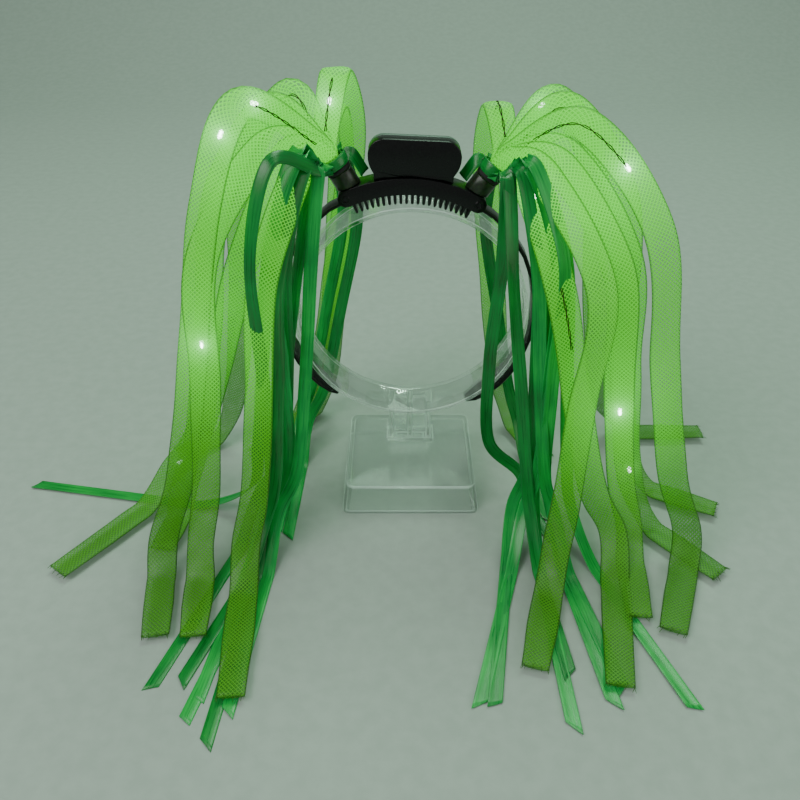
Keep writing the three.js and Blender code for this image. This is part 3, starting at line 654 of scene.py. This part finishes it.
def tie_loop(skin, side):
    """The folded end of the tie, from the wrap over to the bridge beside the box."""
    point, along = neck_at(side, WRAP_FOOT + WRAP_HEIGHT * 0.6)
    inward = Vector((-side, 0, 0))
    inward = (inward - along * inward.dot(along)).normalized()
    foot = polar(LOOP_FOOT_RADIUS, side * LOOP_FOOT_ANGLE) + Vector((0, BAND_Y, 0))
    end = rolled(foot) + Vector((HEADBAND_SHIFT, 0, HEADBAND_Z))
    root = point + inward * (WRAP_INNER + WRAP_WALL / 2)
    crown = root.lerp(end, 0.4) + UP * (LOOP_WIDTH * 0.55)
    lean = Vector((0, math.cos(LOOP_LEAN), math.sin(LOOP_LEAN)))
    path = []
    for i in range(17):
        p, ahead = on_curve([root, crown, end], i / 8)
        width = (lean - ahead * lean.dot(ahead)).normalized()
        path.append({"run": i * 1.2, "point": p, "ahead": ahead, "width": width})
    rings = [strip_ring(st, LOOP_WIDTH, RIBBON_THICK, 0.5) for st in path]
    skin.loft(rings, [st["run"] * MM for st in path], tone=0.05)


# Materials

def add(tree, kind, inputs=None, out=0, **settings):
    """One node, with its settings and the values or links of its inputs. Gives one output."""
    made = tree.nodes.new(kind)
    for name, value in settings.items():
        setattr(made, name, value)
    for socket, value in (inputs or {}).items():
        if isinstance(value, bpy.types.NodeSocket):
            tree.links.new(value, made.inputs[socket])
        else:
            made.inputs[socket].default_value = value
    return made.outputs[out]


def surface(name, **sockets):
    """A new material and its shader, with the given sockets set."""
    made = bpy.data.materials.new(name)
    made.use_nodes = True
    shader = made.node_tree.nodes["Principled BSDF"]
    for socket, value in sockets.items():
        shader.inputs[socket.replace("_", " ")].default_value = value
    return made, made.node_tree, shader


def grain(tree, shader, size_mm, depth_mm, strength=0.5):
    """A fine moulded skin: low bumps of the given size. Gives the noise they are made from."""
    where = add(tree, "ShaderNodeTexCoord", out="Object")
    noise = add(tree, "ShaderNodeTexNoise", {"Vector": where, "Scale": 1 / (size_mm * MM),
                                             "Detail": 3}, "Fac")
    bump = add(tree, "ShaderNodeBump", {"Height": noise, "Strength": strength,
                                        "Distance": depth_mm * MM}, "Normal")
    tree.links.new(bump, shader.inputs["Normal"])
    return noise


def shaded(tree, noise, shader, dark, light):
    """Colour that drifts between two near tones with the noise."""
    drift = add(tree, "ShaderNodeMapRange", {"Value": noise, 1: 0.35, 2: 0.65})
    color = add(tree, "ShaderNodeMix", {0: drift, 6: linear(dark), 7: linear(light)}, 2,
                data_type="RGBA")
    tree.links.new(color, shader.inputs["Base Color"])


def acrylic_clear_moulded():
    # Injection-moulded clear acrylic: polished walls that the background shows through
    made, tree, shader = surface("acrylic_clear_moulded", Base_Color=linear("#F2FAF6"),
                                 Roughness=0.03, IOR=1.49, Transmission_Weight=1.0, Alpha=0.42)
    grain(tree, shader, 22, 0.03, 0.1)
    return made


def acrylic_edge_painted_highlight():
    # Rounded edges of the same acrylic, paler and more opaque than the walls: a painted highlight,
    # so they stand out as bright lines
    made, tree, shader = surface("acrylic_edge_painted_highlight", Base_Color=linear("#E4FAEF"),
                                 Roughness=0.06, IOR=1.49, Transmission_Weight=0.25, Alpha=0.9)
    grain(tree, shader, 9, 0.03, 0.2)
    return made


def abs_black_moulded():
    # Black ABS from a polished mould: deep black with soft clear highlights and a few rub marks
    made, tree, shader = surface("abs_black_moulded", IOR=1.5, Specular_IOR_Level=0.35)
    noise = grain(tree, shader, 0.9, 0.02, 0.35)
    shaded(tree, noise, shader, "#020303", "#080909")
    rough = add(tree, "ShaderNodeMapRange", {"Value": noise, 3: 0.22, 4: 0.36})
    tree.links.new(rough, shader.inputs["Roughness"])
    return made


def abs_grey_moulded():
    # Dark grey ABS cover: the same skin as the box, a shade lighter and duller
    made, tree, shader = surface("abs_grey_moulded", IOR=1.54, Roughness=0.42)
    noise = grain(tree, shader, 1.1, 0.02, 0.4)
    shaded(tree, noise, shader, "#455B50", "#536B5E")
    return made


def polypropylene_olive():
    # Olive polypropylene cup: waxy and half clear, so light sinks in a little
    made, tree, shader = surface("polypropylene_olive", IOR=1.49, Roughness=0.34,
                                 Subsurface_Weight=0.25, Subsurface_Scale=0.002)
    noise = grain(tree, shader, 1.6, 0.03, 0.4)
    shaded(tree, noise, shader, "#141F12", "#24341B")
    return made


def rubber_band_black():
    # Black rubber band: matt, with a dusty bloom
    made, tree, shader = surface("rubber_band_black", IOR=1.52, Roughness=0.75)
    noise = grain(tree, shader, 0.6, 0.05, 0.6)
    shaded(tree, noise, shader, "#0B0B0B", "#191A18")
    return made


# Weave of the mesh tubes: the real threads lie about 0.6 mm apart, too fine to show, so they are
# drawn this far apart, in millimetres
BRAID_PITCH = 1.5
BRAID_THREAD = 0.5
# The two sets of threads lie at 45 degrees to the tube
BRAID_SLANT = 0.7071


def nylon_mesh_lime():
    # Braided nylon tube pressed flat: see-through lime weave with dark folds, mint near a light
    made, tree, shader = surface("nylon_mesh_lime", IOR=1.5, Roughness=0.45,
                                 Specular_IOR_Level=0.3, Sheen_Weight=0.1, Sheen_Roughness=0.4)
    shader.inputs["Sheen Tint"].default_value = linear("#7FE06A")
    lit_share = add(tree, "ShaderNodeAttribute", out="Fac", attribute_name="lit")
    spread = add(tree, "ShaderNodeAttribute", out="Fac", attribute_name="glow")
    fold = add(tree, "ShaderNodeAttribute", out="Fac", attribute_name="fold")
    tone = add(tree, "ShaderNodeAttribute", out="Fac", attribute_name="tone")

    # Two sets of threads that cross at a slant
    along = add(tree, "ShaderNodeUVMap", uv_map="UVMap")
    across = add(tree, "ShaderNodeSeparateXYZ", {0: along}, "X")
    down = add(tree, "ShaderNodeSeparateXYZ", {0: along}, "Y")
    threads = []
    for kind in ("ADD", "SUBTRACT"):
        lean = add(tree, "ShaderNodeMath", {0: across, 1: down}, operation=kind)
        saw = add(tree, "ShaderNodeMath", {0: lean, 1: BRAID_PITCH * MM * BRAID_SLANT},
                  operation="PINGPONG")
        threads.append(add(tree, "ShaderNodeMapRange", {
            "Value": saw, 1: BRAID_THREAD * MM * 0.4, 2: BRAID_THREAD * MM, 3: 1.0, 4: 0.0}))
    braid = add(tree, "ShaderNodeMath", {0: threads[0], 1: threads[1]}, operation="MAXIMUM")

    # Colour: drifts along a tube and from tube to tube, with painted shade in the gaps between the
    # threads, and darker at the folds
    where = add(tree, "ShaderNodeTexCoord", out="Object")
    noise = add(tree, "ShaderNodeTexNoise", {"Vector": where, "Scale": 1 / (40 * MM),
                                             "Detail": 2}, "Fac")
    own = add(tree, "ShaderNodeMath", {0: tone, 1: 0.45}, operation="MULTIPLY")
    drift = add(tree, "ShaderNodeMath", {0: noise, 1: 0.9, 2: own}, operation="MULTIPLY_ADD")
    base = add(tree, "ShaderNodeMix", {0: drift, 6: linear("#2C6A0C"), 7: linear("#56A41C")}, 2,
               data_type="RGBA")
    # Painted shade: the gaps between the threads are tinted dark green
    gap_shade = add(tree, "ShaderNodeMapRange", {"Value": braid, 3: 0.5, 4: 0.0})
    base = add(tree, "ShaderNodeMix", {0: gap_shade, 6: base, 7: linear("#155C12")}, 2,
               data_type="RGBA")
    dim = add(tree, "ShaderNodeMath", {0: fold, 1: 0.75}, operation="MULTIPLY")
    base = add(tree, "ShaderNodeMix", {0: dim, 6: base, 7: linear("#244F0C")}, 2,
               data_type="RGBA")
    # Painted light: near each little light the weave's own colour turns pale mint
    base = add(tree, "ShaderNodeMix", {0: lit_share, 6: base, 7: linear("#86F07C")}, 2,
               data_type="RGBA")
    tree.links.new(base, shader.inputs["Base Color"])

    # Cover: open between the threads, close at the folds and where a light floods the weave
    weave = add(tree, "ShaderNodeMapRange", {"Value": braid, 3: 0.3, 4: 0.82})
    close = add(tree, "ShaderNodeMath", {0: fold, 1: 0.9}, operation="MULTIPLY")
    flood = add(tree, "ShaderNodeMath", {0: lit_share, 1: 0.75}, operation="MULTIPLY")
    cover = add(tree, "ShaderNodeMath", {0: weave, 1: close}, operation="MAXIMUM")
    cover = add(tree, "ShaderNodeMath", {0: cover, 1: flood}, operation="MAXIMUM")
    tree.links.new(cover, shader.inputs["Alpha"])

    # Shine: the whole arch glows, most at the threads, and turns white at a light
    green = add(tree, "ShaderNodeMix", {0: spread, 6: linear("#4CC81C"), 7: linear("#5EF23A")}, 2,
                data_type="RGBA")
    shine = add(tree, "ShaderNodeMix", {0: lit_share, 6: green, 7: linear("#A4FFA0")}, 2,
                data_type="RGBA")
    tree.links.new(shine, shader.inputs["Emission Color"])
    even = add(tree, "ShaderNodeMapRange", {"Value": spread, 3: 0.07, 4: 1.25})
    shade = add(tree, "ShaderNodeMapRange", {"Value": fold, 3: 1.0, 4: 0.3})
    depth = add(tree, "ShaderNodeMapRange", {"Value": braid, 3: 0.35, 4: 1.0})
    even = add(tree, "ShaderNodeMath", {0: even, 1: shade}, operation="MULTIPLY")
    even = add(tree, "ShaderNodeMath", {0: even, 1: depth}, operation="MULTIPLY")
    strength = add(tree, "ShaderNodeMath", {0: lit_share, 1: 1.3, 2: even},
                   operation="MULTIPLY_ADD")
    tree.links.new(strength, shader.inputs["Emission Strength"])
    return made


def satin_ribbon_green():
    # Polyester satin ribbon: warp floats run along it, so it is dark face on and bright at a slant
    made, tree, shader = surface("satin_ribbon_green", IOR=1.53,
                                 Sheen_Weight=0.35, Sheen_Roughness=0.3, Anisotropic=0.6)
    shader.inputs["Sheen Tint"].default_value = linear("#7FE8A4")
    tone = add(tree, "ShaderNodeAttribute", out="Fac", attribute_name="tone")
    along = add(tree, "ShaderNodeUVMap", uv_map="UVMap")

    # Warp streaks
    streak_width, streak_length = 0.9 * MM, 25 * MM
    stretched = add(tree, "ShaderNodeVectorMath",
                    {0: along, 1: (1 / streak_width, 1 / streak_length, 1)}, operation="MULTIPLY")
    streaks = add(tree, "ShaderNodeTexNoise", {"Vector": stretched, "Scale": 1.0, "Detail": 2},
                  "Fac")
    rough = add(tree, "ShaderNodeMapRange", {"Value": streaks, 3: 0.14, 4: 0.5})
    tree.links.new(rough, shader.inputs["Roughness"])

    # Picks across the ribbon
    half_pick = 0.2 * MM
    down = add(tree, "ShaderNodeSeparateXYZ", {0: along}, "Y")
    picks = add(tree, "ShaderNodeMath", {0: down, 1: half_pick}, operation="PINGPONG")
    height = add(tree, "ShaderNodeMapRange", {"Value": picks, 1: 0.0, 2: half_pick})
    bump = add(tree, "ShaderNodeBump", {"Height": height, "Strength": 0.3,
                                        "Distance": 0.04 * MM}, "Normal")
    tree.links.new(bump, shader.inputs["Normal"])

    # Colour: streaky along the warp, the streaks partly the satin's own and partly a painted
    # sheen, and darker or lighter from ribbon to ribbon
    where = add(tree, "ShaderNodeTexCoord", out="Object")
    noise = add(tree, "ShaderNodeTexNoise", {"Vector": where, "Scale": 1 / (22 * MM),
                                             "Detail": 2}, "Fac")
    lowered = add(tree, "ShaderNodeMath", {0: noise, 1: 0.6}, operation="SUBTRACT")
    # Painted sheen: brighter green along the warp streaks, on top of the satin's own streaks
    warp_and_painted_sheen = add(tree, "ShaderNodeMath", {0: streaks, 1: 1.1, 2: lowered},
                  operation="MULTIPLY_ADD")
    light = add(tree, "ShaderNodeMix", {0: warp_and_painted_sheen, 6: linear("#037A2C"), 7: linear("#18D458")},
                2, data_type="RGBA")
    dark = add(tree, "ShaderNodeMix", {0: warp_and_painted_sheen, 6: linear("#01521A"), 7: linear("#0A9636")},
               2, data_type="RGBA")
    color = add(tree, "ShaderNodeMix", {0: tone, 6: dark, 7: light}, 2, data_type="RGBA")
    tree.links.new(color, shader.inputs["Base Color"])
    return made


def copper_enamelled():
    # Enamelled copper wire: thin dark brown varnish over metal
    made, tree, shader = surface("copper_enamelled", Metallic=0.6, Roughness=0.36)
    noise = grain(tree, shader, 1.5, 0.01, 0.3)
    shaded(tree, noise, shader, "#20140C", "#3E2917")
    return made


def led_epoxy_lit():
    # Small light in clear epoxy, lit cool white
    made, tree, shader = surface("led_epoxy_lit", Roughness=0.15, IOR=1.5,
                                 Base_Color=linear("#EFFFF4"), Emission_Strength=10.0)
    noise = grain(tree, shader, 2, 0.01, 0.2)
    shine = add(tree, "ShaderNodeMix", {0: noise, 6: linear("#D4FFE0"), 7: linear("#F2FFF6")}, 2,
                data_type="RGBA")
    tree.links.new(shine, shader.inputs["Emission Color"])
    return made


def painted_board():
    # Matt painted board, pale grey
    made, tree, shader = surface("painted_board", Roughness=0.8)
    noise = grain(tree, shader, 8, 0.02, 0.2)
    shaded(tree, noise, shader, "#9FACA3", "#A5B2A9")
    return made


# Finishes of the solids that stay, and how far their edges are rounded, in millimetres
clear, edge, black = acrylic_clear_moulded(), acrylic_edge_painted_highlight(), abs_black_moulded()
grey, olive, rubber = abs_grey_moulded(), polypropylene_olive(), rubber_band_black()
FINISH = {
    "stand_base": (clear, 0.45), "stand_ring": (clear, 0.4),
    "headband": (black, 0.3), "comb_bridge": (black, 0.2),
    "battery_case": (black, 0.45), "battery_cover": (grey, 0.45),
    "sleeve_left": (olive, 0.4), "sleeve_right": (olive, 0.4),
    "neck_band_left": (rubber, 0.4), "neck_band_right": (rubber, 0.4),
}
EDGE_ANGLE = math.radians(30)
WELD_MM = 0.01


def dress(name, finish, rounding):
    """Gives a solid its finish and rounds its edges."""
    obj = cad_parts[name]
    obj.data.materials.clear()
    obj.data.materials.append(finish)
    rounded = name != "stand_base"
    obj.data.polygons.foreach_set("use_smooth", [rounded] * len(obj.data.polygons))
    obj.modifiers.new("joined_corners", "WELD").merge_threshold = WELD_MM * MM
    bevel = obj.modifiers.new("rounded_edges", "BEVEL")
    bevel.width, bevel.segments = rounding * MM, 2
    bevel.limit_method, bevel.angle_limit = "ANGLE", EDGE_ANGLE
    bevel.harden_normals = rounded
    bevel.use_clamp_overlap = False
    # The rounded edges of the clear parts get the paler copy of the acrylic, a painted highlight
    if finish is clear:
        obj.data.materials.append(edge)
        bevel.material = 1


for node_name, (finish, rounding) in FINISH.items():
    dress(node_name, finish, rounding)


def light_spots(side, table, lights):
    """The station of each light in its tube, and how brightly it shines."""
    spots = []
    for tube, t, power in lights:
        path = tube_path(table, side, tube, LIGHT_STEP)
        spots.append((min(path, key=lambda st: abs(st["t"] - t)), power))
    return spots


lime, satin = nylon_mesh_lime(), satin_ribbon_green()
copper, lamp = copper_enamelled(), led_epoxy_lit()
for side, word, tubes, tapes, lights, wires in (
        (-1, "left", LEFT_TUBES, LEFT_RIBBONS, LEFT_LIGHTS, LEFT_WIRES),
        (1, "right", RIGHT_TUBES, RIGHT_RIBBONS, RIGHT_LIGHTS, RIGHT_WIRES)):
    spots = light_spots(side, tubes, lights)
    mesh_tubes(side, word, tubes, [(st["point"], power) for st, power in spots], lime)
    light_wires(side, word, tubes, wires, copper)
    little_lights(word, spots, lamp)
    ribbons(side, word, tapes, satin)


# Floor, light and camera

def sweep():
    """A pale floor that curves up into a backdrop, in metres."""
    front, bend, radius, top, half_width = -1.6, 0.9, 0.8, 3.2, 3.5
    profile = [(front, 0), (bend, 0)]
    for i in range(1, 13):
        a = math.pi / 2 * i / 12
        profile.append((bend + radius * math.sin(a), radius * (1 - math.cos(a))))
    profile.append((bend + radius, top))
    points = [(x, y, z) for y, z in profile for x in (-half_width, half_width)]
    faces = [(2 * i, 2 * i + 1, 2 * i + 3, 2 * i + 2) for i in range(len(profile) - 1)]
    mesh = bpy.data.meshes.new("floor")
    mesh.from_pydata(points, [], faces)
    mesh.polygons.foreach_set("use_smooth", [True] * len(mesh.polygons))
    mesh.materials.append(painted_board())
    obj = bpy.data.objects.new("floor", mesh)
    bpy.context.collection.objects.link(obj)


def area_light(name, at, to, size, power, color="#FFFFFF"):
    """A round soft light at a place, turned to another."""
    data = bpy.data.lights.new(name, "AREA")
    data.shape, data.size, data.energy = "DISK", size, power
    data.color = linear(color)[:3]
    obj = bpy.data.objects.new(name, data)
    obj.location = at
    obj.rotation_euler = (Vector(to) - Vector(at)).to_track_quat("-Z", "Y").to_euler()
    bpy.context.collection.objects.link(obj)


sweep()
# Soft lights: where each is and what it points at in metres, its size, and its power in watts
area_light("key", (-0.7, -0.5, 1.1), (0, 0, 0.12), 0.9, 9)
area_light("back", (0.25, 0.75, 1.5), (0, 0, 0.12), 0.8, 15, "#CFFFDD")
area_light("fill", (1.1, -0.6, 0.6), (0, 0, 0.1), 0.9, 4)
SKY_COLOR, SKY_STRENGTH = "#E4EAE6", 0.36
world = bpy.data.worlds.new("studio")
world.use_nodes = True
sky = world.node_tree.nodes["Background"]
sky.inputs["Color"].default_value = linear(SKY_COLOR)
sky.inputs["Strength"].default_value = SKY_STRENGTH
bpy.context.scene.world = world

# The photo's own view, fitted to the foot's edges and the ring
CAMERA_FROM_FOOT = Vector((-0.00625, -0.39139, 0.33219))
CAMERA_TILT = math.radians(54.72)
camera = bpy.data.cameras.new("camera")
camera.sensor_width, camera.lens = 36, 35.89
view = bpy.data.objects.new("camera", camera)
view.location = FOOT * MM + CAMERA_FROM_FOOT
view.rotation_euler = (CAMERA_TILT, 0, 0)
bpy.context.collection.objects.link(view)
bpy.context.scene.camera = view
